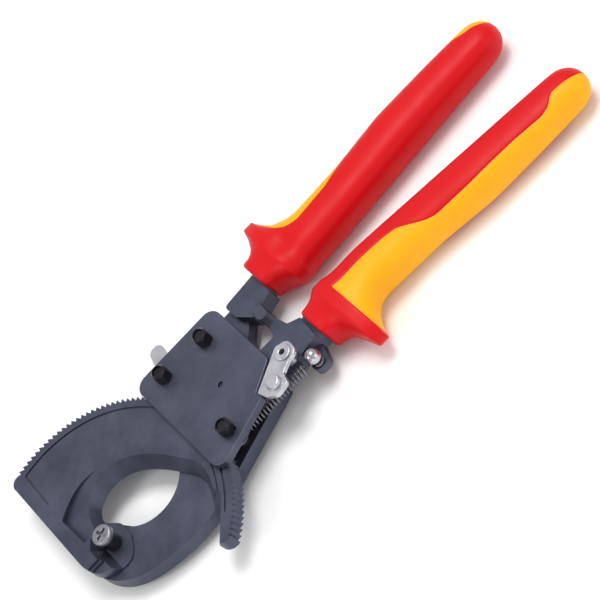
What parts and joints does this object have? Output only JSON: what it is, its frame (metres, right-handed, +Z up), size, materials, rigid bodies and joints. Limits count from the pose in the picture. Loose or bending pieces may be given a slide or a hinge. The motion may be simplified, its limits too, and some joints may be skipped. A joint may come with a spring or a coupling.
{
  "type": "ratchet cable cutter",
  "caption": "Hand ratchet cable cutter: toothed sickle blade closing on a hooked jaw, covered pawl mechanism, spring, latch and two insulated two-colour grips.",
  "frame": {"origin": "on the surface that the tool lies on, under the middle of the whole tool", "axes": "+Y along the tool from the jaws to the grip ends, +X towards the moving lever, +Z up out of the cover plate, away from the surface"},
  "size_m": [0.0998, 0.2512, 0.0233],
  "materials": {
    "forged_steel": "dark burnished forging, oiled",
    "blade_steel": "dark burnished tool steel, ground edge",
    "plate_steel": "dark burnished sheet steel",
    "bolt_steel": "blackened fastener",
    "inner_steel": "dark hardened steel",
    "screw_steel": "bare worn steel",
    "spring_wire": "dark spring wire",
    "latch_steel": "bright zinc plate",
    "chrome_ball": "polished",
    "red_grip": "moulded insulating grip, satin",
    "yellow_grip": "moulded insulating grip, satin"
  },
  "bodies": {
    "head": {"fixed_blade_arm": "forged_steel", "front_cover_plate": "plate_steel", "lever_pivot_pin": "inner_steel", "pivot_bush": "inner_steel", "pivot_screw": "screw_steel", "pivot_washer": "inner_steel", "pivot_nut": "inner_steel", "spring_peg": "inner_steel", "holding_pawl_spring": "spring_wire", "upper_grip_body": "red_grip", "upper_grip_inlay": "yellow_grip", "cover_bolt_1": "bolt_steel", "cover_bolt_2": "bolt_steel", "cover_bolt_3": "bolt_steel", "cover_nut_1": "bolt_steel", "cover_nut_2": "bolt_steel", "cover_nut_3": "bolt_steel", "spacer_sleeve_1": "inner_steel", "spacer_sleeve_2": "inner_steel", "spacer_sleeve_3": "inner_steel"},
    "blade": {"moving_blade": "blade_steel"},
    "lever": {"lever_arm": "forged_steel", "lower_grip_body": "red_grip", "lower_grip_inlay": "yellow_grip", "drive_pawl_pin": "inner_steel", "drive_pawl_spring": "spring_wire", "latch_spacer": "latch_steel", "latch_rivet": "latch_steel", "spring_stud": "chrome_ball", "opening_spring": "spring_wire"},
    "drive_pawl": {"drive_pawl": "inner_steel"},
    "holding_pawl": {"holding_pawl": "inner_steel", "pawl_rivet": "inner_steel", "release_tab": "latch_steel"},
    "latch": {"handle_latch": "latch_steel", "thumb_stud": "latch_steel"}
  },
  "joints": [
    {"name": "blade_hinge", "type": "hinge", "parent": "head", "child": "blade", "pos_m": [0.00897, -0.10844, 0.0118], "axis": [0, 0, 1], "range_deg": [-42, 110]},
    {"name": "lever_hinge", "type": "hinge", "parent": "head", "child": "lever", "pos_m": [-0.00033, -0.04154, 0.0118], "axis": [0, 0, 1], "range_deg": [-18, 8.5], "stiffness_Nm_per_rad": 0.54, "springref_deg": -34.38, "deforming": ["opening_spring"]},
    {"name": "drive_pawl_hinge", "type": "hinge", "parent": "lever", "child": "drive_pawl", "pos_m": [-0.00683, -0.04904, 0.0128], "axis": [0, 0, 1], "range_deg": [0, 12], "stiffness_Nm_per_rad": 0.02, "springref_deg": -17.19},
    {"name": "holding_pawl_hinge", "type": "hinge", "parent": "head", "child": "holding_pawl", "pos_m": [-0.02183, -0.05544, 0.0118], "axis": [0, 0, 1], "range_deg": [0, 12], "stiffness_Nm_per_rad": 0.03, "springref_deg": -17.19, "deforming": ["holding_pawl_spring"]},
    {"name": "latch_hinge", "type": "hinge", "parent": "lever", "child": "latch", "pos_m": [0.01227, -0.01694, 0.0193], "axis": [0, 0, 1], "range_deg": [0, 30]}
  ]
}
